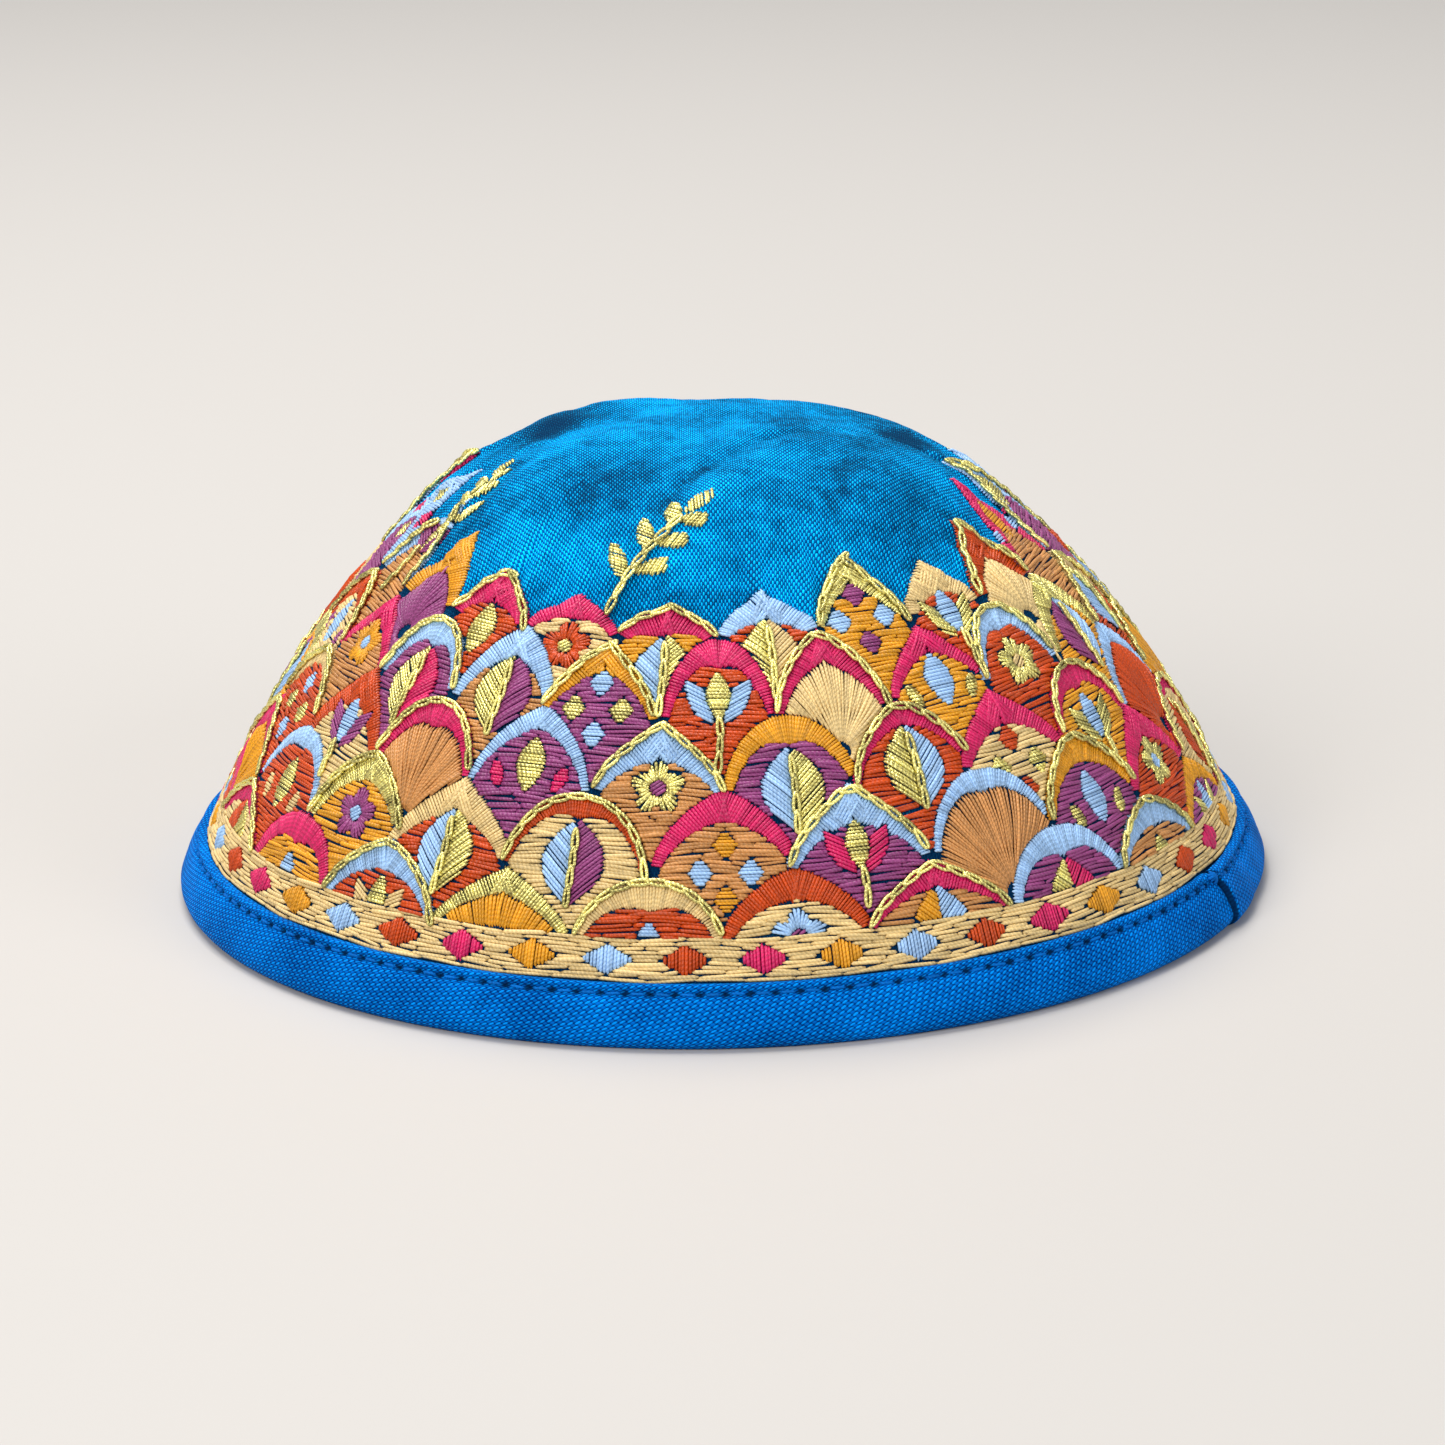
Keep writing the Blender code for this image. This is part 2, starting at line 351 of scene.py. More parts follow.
def yarn_height(tree, across, along, side):
    """One set of yarns: round across, and over and under along."""
    rounded = maths(tree, "SINE", ("MULTIPLY", ("FRACT", across), math.pi))
    over = maths(tree, "COSINE", ("MULTIPLY", ("ADD", ("SUBTRACT", along, 0.5), ("FLOOR", across)), math.pi))
    return maths(tree, "MULTIPLY", ("POWER", rounded, 0.7), ("MULTIPLY_ADD", over, 0.5 * side, 0.5))


YARN_WAVER = 0.30
WAVER_SCALE = 420.0


def plain_weave(tree, vector, pitches):
    """Plain weave: its height from 0 in the holes to 1 on the crossings, which set of yarns
    lies on top there, and each yarn's own shade."""
    drift = add_node(tree, "TexNoise", {"Vector": vector, "Scale": WAVER_SCALE, "Detail": 1.0})
    drifts = add_node(tree, "SeparateColor", {0: drift.outputs["Color"]}).outputs
    places = add_node(tree, "SeparateXYZ", {0: vector}).outputs
    warp_at, weft_at = (maths(tree, "MULTIPLY_ADD", wander, YARN_WAVER, ("DIVIDE", at, pitch))
                        for at, pitch, wander in zip(places, pitches, drifts))
    warp = yarn_height(tree, warp_at, weft_at, 1)
    weft = yarn_height(tree, weft_at, warp_at, -1)
    lead = maths(tree, "MULTIPLY_ADD", ("SUBTRACT", warp, weft), 2.5, 0.5)
    number = maths(tree, "ADD", ("FLOOR", warp_at), ("MULTIPLY", ("FLOOR", weft_at), 57.3))
    return (maths(tree, "MAXIMUM", warp, weft), add_node(tree, "Clamp", {0: lead}).outputs[0],
            add_node(tree, "TexWhiteNoise", {"W": number}, noise_dimensions="1D").outputs["Value"])


def new_material(name, values):
    """A material with its Principled shader's plain values, as (material, tree, shader)."""
    material = bpy.data.materials.new(name)
    material.use_nodes = True
    shader = material.node_tree.nodes["Principled BSDF"]
    feed(material.node_tree, shader, values)
    return material, material.node_tree, shader


def mix_colours(tree, share, first, second):
    """One colour Mix node's output."""
    first, second = (colour if isinstance(colour, bpy.types.NodeSocket) else (*colour, 1.0)
                     for colour in (first, second))
    return add_node(tree, "Mix", {0: share, 6: first, 7: second}, data_type="RGBA").outputs[2]


# The dark blue that painted shade mixes towards, on the crown and on the tape
PAINTED_SHADE_COLOUR = (0.002, 0.020, 0.070)
STAIN_SCALE = 75.0
PATCH_SCALE = 420.0
EVEN_WEAR = 0.80
MOST_WEAR = 0.22
DULLEST, BRIGHTEST = 0.50, 1.46


def woven_finish(name, yarns, turned, stretch, opening, wear, colours, sheen_tint, depth):
    """Woven cloth on the piece's own weave map: dark holes painted as the shade between the yarns,
    a dull and a bright set of yarns, slow random stains as strong as its wear, and painted shade
    where the points' shaded number is above 0, with a painted highlight where it is below 0."""
    hole, dull, bright = colours
    material, tree, shader = new_material(name, {
        "Roughness": 0.6, "Specular IOR Level": 0.02, "Specular Tint": (*sheen_tint, 1.0),
        "Sheen Weight": 0.12, "Sheen Roughness": 0.4, "Sheen Tint": (*sheen_tint, 1.0),
    })
    weave_map = add_node(tree, "UVMap", uv_map="weave").outputs[0]
    turned_map = add_node(tree, "Mapping", {"Vector": weave_map, "Scale": (stretch, 1, 1),
                                            "Rotation": (0, 0, turned)}).outputs[0]
    height, over, yarn_shade = plain_weave(tree, turned_map, yarns)
    yarn_colour = mix_colours(tree, over, dull, bright)
    place = add_node(tree, "TexCoord").outputs["Object"]
    stains, patchy = (
        add_node(tree, "TexNoise", {"Vector": place, "Scale": scale, "Detail": detail}).outputs[0]
        for scale, detail in ((STAIN_SCALE, 4.0), (PATCH_SCALE, 2.0))
    )
    worn = maths(tree, "MULTIPLY_ADD", yarn_shade, 0.16, ("MULTIPLY_ADD", patchy, 0.45, stains))
    shade = add_node(tree, "Attribute", attribute_name="shaded").outputs["Fac"]
    mottle = maths(tree, "MULTIPLY", ("SUBTRACT", worn, EVEN_WEAR), wear)
    # The tone takes in the painted shade and the painted highlight of the shaded number
    tone = maths(tree, "MULTIPLY_ADD", shade, -0.25, mottle)
    level = add_node(tree, "MapRange", {0: tone, 1: -MOST_WEAR, 2: MOST_WEAR,
                                        3: DULLEST, 4: BRIGHTEST}).outputs[0]
    stained_and_shaded = add_node(tree, "VectorMath", {0: yarn_colour, 3: level}, operation="SCALE").outputs[0]
    closed_up = maths(tree, "MULTIPLY_ADD", mottle, 0.8, height)
    # The hole colour in the weave's gaps is painted shade
    raised = add_node(tree, "MapRange", {0: closed_up, 1: opening, 2: opening + 0.5}).outputs[0]
    cloth_colour = mix_colours(tree, raised, hole, stained_and_shaded)
    # Painted shade: dark blue with ragged edges where the shaded number is high, deepest in the holes
    ragged = maths(tree, "MULTIPLY_ADD", height, -0.32, ("MULTIPLY_ADD", mottle, -0.9, shade))
    shade = add_node(tree, "MapRange", {0: ragged, 1: 0.12, 2: 0.54, 3: 0.0, 4: 0.9}).outputs[0]
    bump = add_node(tree, "Bump", {"Strength": 1.0, "Distance": depth, "Height": height}).outputs[0]
    feed(tree, shader, {"Base Color": mix_colours(tree, shade, cloth_colour, PAINTED_SHADE_COLOUR), "Normal": bump})
    return material


CROWN_YARNS = (0.28 * MM, 0.48 * MM)
# Colours: the painted shade in the weave's holes, then the dull and the bright yarns
crown.data.materials.append(woven_finish(
    "azure_cloth", CROWN_YARNS, turned=0.0, stretch=1.0, opening=0.18, wear=1.0,
    colours=((0.000, 0.012, 0.07), (0.000, 0.070, 0.27), (0.001, 0.47, 1.00)),
    sheen_tint=(0.00, 0.55, 1.0), depth=0.14 * MM,
))
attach(crown, "root")
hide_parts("crown")

# Embroidery
# Rayon and gold machine thread stitched straight through the crown, in tiers of petals that
# overlap like scales. The chart is a map of the wall that says which patch owns each spot.
CHART_TURN = math.radians(0.1)
CHART_UP = 0.1 * MM
CHART_TOP = 80 * MM
FIELD_FOOT = TAPE_WIDTH + 0.1 * MM
chart = np.zeros((int(CHART_TOP / CHART_UP), int(math.tau / CHART_TURN + 0.5)), np.int32)
patches = [None]
girth_up = np.arange(len(chart)) * CHART_UP
girth = np.interp(girth_up, wall_up, wall_radius) + CLOTH


def girth_at(up):
    """The radius of the stitched face at a length up the wall."""
    return np.interp(up, girth_up, girth)


def owner(turn, up):
    """The number of the patch that owns each spot of the chart."""
    row = np.clip((up / CHART_UP).astype(int), 0, len(chart) - 1)
    column = np.floor(turn / CHART_TURN).astype(int) % chart.shape[1]
    return chart[row, column]


def paint(spots, mask, **patch):
    """Gives the masked spots to a new patch."""
    patches.append(patch)
    rows, columns, _, _ = spots
    part = chart[rows[:, None], columns]
    part[mask] = len(patches) - 1
    chart[rows[:, None], columns] = part


def chart_window(low_turn, high_turn, low_up, high_up):
    """A part of the chart, as its rows, its columns and their azimuths and lengths up."""
    rows = np.arange(int(low_up / CHART_UP), min(int(high_up / CHART_UP) + 1, len(chart)))
    columns = np.arange(int(low_turn / CHART_TURN), int(high_turn / CHART_TURN) + 1)
    turn = (columns + 0.5) * CHART_TURN
    up = (rows + 0.5) * CHART_UP
    return rows, columns % chart.shape[1], turn[None, :], up[:, None]


# Tiers of petals from the top one, which lies behind, down to the rim
TIERS = (
    # first petal's place in petal widths, then millimetres: tip, valley, chance in both
    (0.0, None, None, 0.0),
    (0.5, 47.8, 38.0, 1.0),
    (0.0, 38.0, 28.5, 1.0),
    (0.5, 28.2, 19.2, 0.9),
    (0.0, 18.6, 10.8, 0.6),
)
OUTLINES = {"pointed": (1.0, PETAL_POINT), "round": (2.2, 0.62), "leafy": (1.35, 0.58)}
SCHEMES = (
    # body, rim, motif, second colour of the motif
    ("purple", "light_blue", "gold", "magenta"),
    ("cream", "magenta", "rust", "gold"),
    ("rust", "cream", "light_blue", "gold"),
    ("tan", "light_blue", "gold", "purple"),
    ("orange", "magenta", "light_blue", "gold"),
    ("cream", "rust", "light_blue", "purple"),
    ("purple", "orange", "light_blue", "gold"),
    ("rust", "light_blue", "gold", "cream"),
    ("tan", "magenta", "orange", "light_blue"),
    ("rust", "magenta", "gold", "light_blue"),
    ("orange", "gold", "purple", "light_blue"),
)
KINDS = ("almond", "tulip", "leaf", "rosette", "shell", "diamonds", "leaf")
SATIN_PITCH = 0.42 * MM
ROW_PITCH = 0.47 * MM
RIM_WIDTH = 1.7 * MM
RIM_SWELL = 2.2 * MM


def petal_top(petal, turn):
    """A petal's outline at azimuths, as a length up the wall."""
    aside = np.minimum(np.abs(turn - petal["turn"]) / petal["half"], 1)
    power, point = OUTLINES[petal["outline"]]
    return petal["valley"] + (petal["tip"] - petal["valley"]) * (1 - aside ** power) ** point


def almond(x, y, at_x, at_y, half_width, half_length, lean=0.0):
    """True inside a pointed oval that leans by an angle."""
    along = (y - at_y) * math.cos(lean) + (x - at_x) * math.sin(lean)
    across = (x - at_x) * math.cos(lean) - (y - at_y) * math.sin(lean)
    return np.abs(across) < half_width * (1 - (along / half_length) ** 2)


def stitch_petal(petal):
    """Charts one petal: its rows, its satin rim and the motif in its middle."""
    spots = chart_window(petal["turn"] - petal["half"], petal["turn"] + petal["half"],
                         FIELD_FOOT, petal["tip"] + MM)
    _, _, turn, up = spots
    top = petal_top(petal, turn)
    inside = up < top
    x = (turn - petal["turn"]) * girth_at(up) / MM
    y = (up - petal["tip"]) / MM
    body, rim, motif, second = petal["scheme"]
    kind = petal["kind"]
    middle = (petal["turn"], petal["tip"])
    first = len(patches)

    def satin(mask, colour, at, angle=0.0, reach=4):
        paint(spots, inside & mask, style="lines", colour=colour, middle=middle, angle=angle, at=at,
              reach=reach)

    def satin_almond(colour, at_x, at_y, half_width, half_length, lean=0.0, angle=0.0, reach=4):
        mask = almond(x, y, at_x, at_y, half_width, half_length, lean)
        satin(mask, colour, (at_x, at_y), angle, reach)

    if kind == "shell":
        paint(spots, inside, style="fan", colour=body, middle=middle, at=(0, -15.5), reach=16)
    else:
        paint(spots, inside, style="lines", colour=body, middle=middle, angle=0.0, at=(0, -10), reach=12,
              rows=True)
    slope = np.gradient(top[0], CHART_TURN) / girth_at(petal["tip"])
    depth = (top - up) / np.sqrt(1 + slope[None, :] ** 2)
    aside = np.minimum(np.abs(turn - petal["turn"]) / petal["half"], 1)
    band = RIM_WIDTH * petal["rim"] + RIM_SWELL * petal["rim"] * (1 - aside) ** 1.5
    petal["band"] = band[0]
    petal["band_turn"] = turn[0]
    paint(spots, inside & (depth < band), style="rim", colour=rim, petal=petal)
    below = -RIM_WIDTH * petal["rim"] / MM - RIM_SWELL * petal["rim"] / MM
    if kind == "almond":
        satin_almond(motif, 0, below - 4.6, 1.9, 3.6)
        for side in (-1, 1):
            satin_almond(second, side * 4.2, below - 6.2, 0.9, 2.0, lean=side * 0.3, reach=2.5)
    elif kind == "tulip":
        for side in (-1, 1):
            satin_almond(second, side * 2.3, below - 4.4, 1.25, 3.4, lean=side * 0.5, angle=side * 0.5)
        satin_almond(motif, 0, below - 3.6, 1.5, 3.2)
        petal["chains"].append([(0, below - 6.4), (0.2, below - 9), (-0.2, below - 12.5)])
    elif kind == "leaf":
        blade = almond(x, y, 0, below - 5.4, 3.9, 5.4)
        for side, colour in ((-1, motif), (1, second)):
            satin(blade & (side * x >= 0), colour, (0, below - 5.4), angle=side * 0.75, reach=8)
        petal["chains"].append([(0, below - 1.4), (0.15, below - 5), (-0.1, below - 10.2)])
    elif kind == "rosette":
        from_x, from_y = x, y - (below - 4.3)
        reach = np.hypot(from_x, from_y)
        lobes = 3.4 * (0.62 + 0.38 * np.abs(np.cos(2.5 * np.arctan2(from_x, from_y))))
        paint(spots, inside & (reach < lobes), style="fan", colour=motif, middle=middle,
              at=(0, below - 4.3), reach=4)
        satin(reach < 0.95, second, (0, below - 4.3), angle=0.6, reach=1.5)
    elif kind == "diamonds":
        for at_x, at_y, colour in ((0, below - 2.8, motif), (-3.0, below - 6.2, second),
                                   (3.0, below - 6.2, second), (0, below - 9.4, motif)):
            satin(np.abs(x - at_x) / 1.6 + np.abs(y - at_y) / 2.0 < 1, colour, (at_x, at_y), reach=2.5)
    petal["patches"] = range(first, len(patches))


petals = []
width = math.tau / PETALS
for tier, (start, tier_tip, tier_valley, play) in enumerate(TIERS):
    for number in range(PETALS):
        if tier_tip is None:
            tip = WALL_LENGTH * PETAL_TIPS[number % len(PETAL_TIPS)]
            valley = WALL_LENGTH * PETAL_VALLEY
            shift, outline = 0.0, "pointed"
        else:
            tip = (tier_tip + play * chance.uniform(-1, 1)) * MM
            valley = (tier_valley + 0.5 * play * chance.uniform(-1, 1)) * MM
            shift = 0.06 * chance.uniform(-1, 1)
            outline = ("round", "pointed", "leafy")[(number * 2 + tier) % 3]
        petal = {
            "turn": (number + start + shift) * width,
            "half": width * (0.5 + 0.6 * abs(shift)),
            "tip": tip,
            "valley": valley,
            "outline": outline,
            "scheme": SCHEMES[(number * 3 + tier * 5) % len(SCHEMES)],
            "kind": KINDS[(number * 3 + tier * 2) % len(KINDS)],
            "rim": 1.0 if number % 3 else 0.75,
            "chained": (number + tier) % 2 == 0,
            "chains": [],
        }
        petals.append(petal)
        stitch_petal(petal)

# A border of lozenges on cream rows along the tape
BORDER_TOP = 11.1 * MM
LOZENGES = 44
LOZENGE_HALF_HEIGHT = 1.9 * MM
LOZENGE_COLOURS = ("rust", "magenta", "orange", "light_blue")
middle_up = (FIELD_FOOT + BORDER_TOP) / 2
border = chart_window(0, math.tau - CHART_TURN, FIELD_FOOT, BORDER_TOP)
paint(border, np.broadcast_to(border[3] < BORDER_TOP, (len(border[0]), len(border[1]))),
      style="rounds", colour="cream", low=FIELD_FOOT, high=BORDER_TOP, rows=True)
for number in range(LOZENGES):
    at = (number + 0.5) * math.tau / LOZENGES
    half = 0.36 * math.tau / LOZENGES * (1 + 0.1 * chance.uniform(-1, 1))
    spots = chart_window(at - half, at + half, FIELD_FOOT, BORDER_TOP)
    mask = np.abs(spots[2] - at) / half + np.abs(spots[3] - middle_up) / LOZENGE_HALF_HEIGHT < 1
    paint(spots, mask, style="lines", colour=LOZENGE_COLOURS[number % len(LOZENGE_COLOURS)],
          middle=(at, middle_up), at=(0, 0), reach=4, angle=math.pi / 2)

# Gold sprigs that rise from between the petals onto the bare cloth
SPRIGS = (
    # azimuth of the foot in degrees, height of the foot, how far the tip leans, length
    (251, 49.0 * MM, 7.5 * MM, 17.0 * MM),
    (201, 52.0 * MM, -5.0 * MM, 14.0 * MM),
    (123, 48.5 * MM, -4.0 * MM, 13.5 * MM),
    (73, 47.5 * MM, 6.0 * MM, 15.0 * MM),
)
LEAVES = (
    # share of the stem, side, length as a share of the stem
    (0.40, -1, 0.38),
    (0.48, 1, 0.38),
    (0.66, -1, 0.33),
    (0.74, 1, 0.33),
    (0.90, -1, 0.27),
    (0.95, 1, 0.27),
    (1.02, 0, 0.32),
)
LEAF_WIDTH = 0.068
LEAF_SPREAD = math.radians(48)
stems = []
for foot_turn, foot_up, lean, reach in SPRIGS:
    share = np.linspace(0, 1, 120)
    stem_x = lean * share ** 2
    stem_up = foot_up + reach * share
    stem_turn = math.radians(foot_turn) + stem_x / girth_at(foot_up + reach / 2)
    first = len(patches)
    for leaf_share, side, leaf_length in LEAVES:
        at_turn = np.interp(min(leaf_share, 1), share, stem_turn)
        at_up = foot_up + reach * leaf_share
        way = math.atan2(2 * lean * leaf_share, reach) + side * LEAF_SPREAD
        half = leaf_length * reach / MM / 2
        spots = chart_window(at_turn - 0.12, at_turn + 0.12, at_up - 6 * MM, at_up + 7 * MM)
        x = (spots[2] - at_turn) * girth_at(spots[3]) / MM
        y = (spots[3] - at_up) / MM
        leaf_at = (half * math.sin(way), half * math.cos(way))
        paint(spots, almond(x, y, *leaf_at, LEAF_WIDTH * reach / MM, half, way), style="lines", colour="gold",
              middle=(at_turn, at_up), angle=0.5 * math.pi - way + 0.9, at=leaf_at, reach=4)
    stems.append((stem_turn, stem_up, range(first, len(patches))))

# Runs of thread: where a line of the needle's path stays in its own patch
runs = []
SAMPLE = 0.12 * MM
SHORTEST_RUN = 0.7 * MM
ROW_STITCH = 6.8 * MM
SHORTEST_STITCH = 12
ROW_JITTER = 0.13
SATIN_JITTER = 0.08
ROW_SWAY = 0.17 * MM
SWAY_LENGTH = 2.4 * MM
SWAY_DRIFT = 0.7
ROUNDS_SWAY = 0.12 * MM
ROUNDS_WAVES = 23
ROW_BOW = -0.6 * MM


def stretches(kept):
    """The starts and ends of the stretches of True in a row."""
    edges = np.flatnonzero(np.diff(np.concatenate(([False], kept, [False])).astype(int)))
    return zip(edges[::2], edges[1::2])


def keep_runs(number, turn, up):
    """Cuts lines of samples to their own patch, and to stitches where they are long rows."""
    patch = patches[number]
    own = owner(turn, up) == number
    for line in np.flatnonzero(own.any(axis=1)):
        for start, end in stretches(own[line]):
            line_turn, line_up = turn[line, start:end], up[line, start:end]
            if (end - start) * SAMPLE < SHORTEST_RUN:
                continue
            if not patch.get("rows"):
                runs.append((number, line_turn, line_up))
                continue
            step = int(ROW_STITCH / SAMPLE * chance.uniform(0.7, 1.2))
            cut = int(step * chance.uniform(0.4, 1.0))
            while len(line_turn) > 0:
                if len(line_turn) - cut < SHORTEST_STITCH:
                    cut = len(line_turn)
                runs.append((number, line_turn[:cut], line_up[:cut]))
                line_turn, line_up = line_turn[cut:], line_up[cut:]
                cut = step


def lay_stitches(number, patch, x, y):
    """Keeps lines that are given from a patch's own point."""
    up = patch["middle"][1] + y + patch["at"][1] * MM
    keep_runs(number, patch["middle"][0] + (x + patch["at"][0] * MM) / girth_at(up), up)


def lay_lines(number, patch):
    """Parallel stitches across a patch, at an angle to the rim."""
    rows = patch.get("rows")
    reach = patch["reach"] * MM
    pitch, jitter = (ROW_PITCH, ROW_JITTER) if rows else (SATIN_PITCH, SATIN_JITTER)
    offsets = np.arange(-reach, reach, pitch)
    along = np.arange(-reach, reach, SAMPLE)
    offsets = offsets + jitter * pitch * chance.normal(size=len(offsets))
    across = offsets[:, None] + np.zeros_like(along)
    if rows:
        phases = SWAY_DRIFT * np.cumsum(chance.normal(size=len(offsets)))[:, None]
        sway = ROW_SWAY * np.sin(along / SWAY_LENGTH + phases)
        across = across + sway + ROW_BOW * (along / reach) ** 2
    angle = patch["angle"]
    lay_stitches(number, patch, along * math.cos(angle) - across * math.sin(angle),
                 along * math.sin(angle) + across * math.cos(angle))


def lay_fan(number, patch):
    """Stitches that spread from one point of a patch."""
    reach = patch["reach"] * MM
    count = int(math.tau * 0.62 * reach / SATIN_PITCH)
    angles = np.arange(count) * math.tau / count + 0.1 * math.tau / count * chance.normal(size=count)
    along = np.arange(0.08 * reach, reach * 1.1, SAMPLE) + 0.22 * reach * (np.arange(count)[:, None] % 2)
    lay_stitches(number, patch, np.cos(angles)[:, None] * along, np.sin(angles)[:, None] * along)


def outline_path(petal, pitch):
    """Spots along a petal's outline with the way into the petal, as turn, up and (x, y)."""
    turn = np.linspace(petal["turn"] - petal["half"], petal["turn"] + petal["half"], 900)
    up = petal_top(petal, turn)
    length = length_along(np.diff(turn) * girth_at((up[1:] + up[:-1]) / 2), np.diff(up))
    at = np.arange(pitch / 2, length[-1], pitch)
    way = np.gradient(np.interp(at, length, turn)) * girth_at(petal["tip"])
    climb = np.gradient(np.interp(at, length, up))
    size = np.hypot(way, climb)
    return np.interp(at, length, turn), np.interp(at, length, up), climb / size, -way / size


def lay_rim(number, patch):
    """Satin stitches from a petal's outline inwards."""
    petal = patch["petal"]
    turn, up, in_x, in_up = outline_path(petal, SATIN_PITCH)
    band = np.interp(turn, petal["band_turn"], petal["band"])
    along = np.arange(0.05 * MM, 1.25 * (RIM_WIDTH + RIM_SWELL), SAMPLE)
    line_up = up[:, None] + in_up[:, None] * along
    line_turn = turn[:, None] + in_x[:, None] * along / girth_at(line_up)
    keep_runs(number, line_turn, line_up)


def lay_rounds(number, patch):
    """Rows that run all the way round the cap."""
    count = round((patch["high"] - patch["low"]) / ROW_PITCH)
    pitch = (patch["high"] - patch["low"]) / count
    turn = np.arange(0, math.tau, SAMPLE / EDGE_RADIUS)
    phases = SWAY_DRIFT * np.cumsum(chance.normal(size=count))[:, None]
    up = patch["low"] + (np.arange(count)[:, None] + 0.5) * pitch
    up = up + ROUNDS_SWAY * np.sin(turn * ROUNDS_WAVES + phases)
    keep_runs(number, np.broadcast_to(turn, up.shape), up)


WAYS = {"lines": lay_lines, "fan": lay_fan, "rim": lay_rim, "rounds": lay_rounds}
for number, patch in enumerate(patches[1:], start=1):
    WAYS[patch["style"]](number, patch)


def tubes(points, outward, half_width, half_height, sides):
    """Closed tubes along rows of points, as (corners, triangles, round, along)."""
    count, rings, _ = points.shape
    tangent = np.gradient(points, axis=1)
    tangent /= np.linalg.norm(tangent, axis=2)[..., None]
    sideways = np.cross(tangent, outward)
    sideways /= np.linalg.norm(sideways, axis=2)[..., None]
    upright = np.cross(sideways, tangent)
    around = np.arange(sides)
    angle = around * math.tau / sides
    ring = (
        points[:, :, None]
        + (sideways * half_width[..., None])[:, :, None] * np.cos(angle)[:, None]
        + (upright * half_height[..., None])[:, :, None] * np.sin(angle)[:, None]
    )
    steps = np.linalg.norm(np.diff(points, axis=1), axis=2)
    along = np.concatenate((np.zeros((count, 1)), np.cumsum(steps, axis=1)), axis=1)
    tips = tangent[:, [0, -1]] * half_height[:, [0, -1], None] * np.array(((1,), (-1,)))
    ends = points[:, [0, -1]] - tips
    per_tube = rings * sides + 2
    corners = np.concatenate((ring.reshape(count, rings * sides, 3), ends), axis=1).reshape(-1, 3)
    here, beside = ((np.arange(rings - 1)[:, None] * sides + corner).ravel()
                    for corner in (around, (around + 1) % sides))
    faces = [np.stack((here, here + sides, beside), 1), np.stack((beside, here + sides, beside + sides), 1)]
    last = (rings - 1) * sides + around
    faces.append(np.stack((around, np.roll(around, -1), np.full(sides, rings * sides)), 1))
    faces.append(np.stack((np.roll(last, -1), last, np.full(sides, rings * sides + 1)), 1))
    one = np.concatenate(faces)
    triangles = (one[None] + (np.arange(count) * per_tube)[:, None, None]).reshape(-1, 3)
    turned = np.concatenate((np.tile(angle, rings), (0.0, 0.0)))
    lengths = np.concatenate((np.repeat(along, sides, axis=1), along[:, [0, -1]]), axis=1)
    return corners, triangles, np.tile(turned, count), lengths.ravel()


def bundle(points, outward, half_width, flatness, sides):
    """Tubes of one shape, each with a chance tone."""
    return {"points": points, "outward": outward, "half_width": half_width,
            "half_height": half_width * flatness, "sides": sides, "tone": chance.uniform(0, 1, len(points))}


def thread_piece(name, bundles, material):
    """One joined mesh of many tubes, with each stitch's tone and the thread's own lines."""
    parts, total = [], 0
    for made in bundles:
        tones = made.pop("tone")
        corners, triangles, turned, along = tubes(**made)
        tones = np.repeat(tones, len(corners) // len(tones))
        parts.append((corners, triangles + total, turned, along, tones))
        total += len(corners)
    corners, triangles, turned, along, tones = (np.concatenate(part) for part in zip(*parts))
    mesh = bpy.data.meshes.new(name)
    mesh.from_pydata(corners.tolist(), [], triangles.tolist())
    lines = np.stack((np.cos(turned), np.sin(turned), along), 1).astype(np.float32).ravel()
    mesh.attributes.new("thread", "FLOAT_VECTOR", "POINT").data.foreach_set("vector", lines)
    mark_points(mesh, "tone", tones)
    mesh.shade_smooth()
    piece = bpy.data.objects.new(name, mesh)
    scene.collection.objects.link(piece)
    mesh.materials.append(material)
    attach(piece, "root")
    return piece


def over_cloth(turn, up, lift):
    """Points and ways outward at a height above the crown's outer face."""
    out = CLOTH / 2 + cloth_relief(turn, up) + lift
    points = on_wall(turn, up, out)
    outward = on_wall(turn, up, out + MM) - points
    return points, outward / np.linalg.norm(outward, axis=-1)[..., None]


ROW_SLANT = 0.08 * MM
ROW_HALF_WIDTH = 0.260 * MM
SATIN_HALF_WIDTH = 0.212 * MM
ROW_LOFT = 0.20 * MM
SATIN_LOFT = 0.24 * MM
SATIN_RISE = 0.045
SATIN_MOST_LOFT = 0.52 * MM
CLEAR_OF_CLOTH = 0.03 * MM


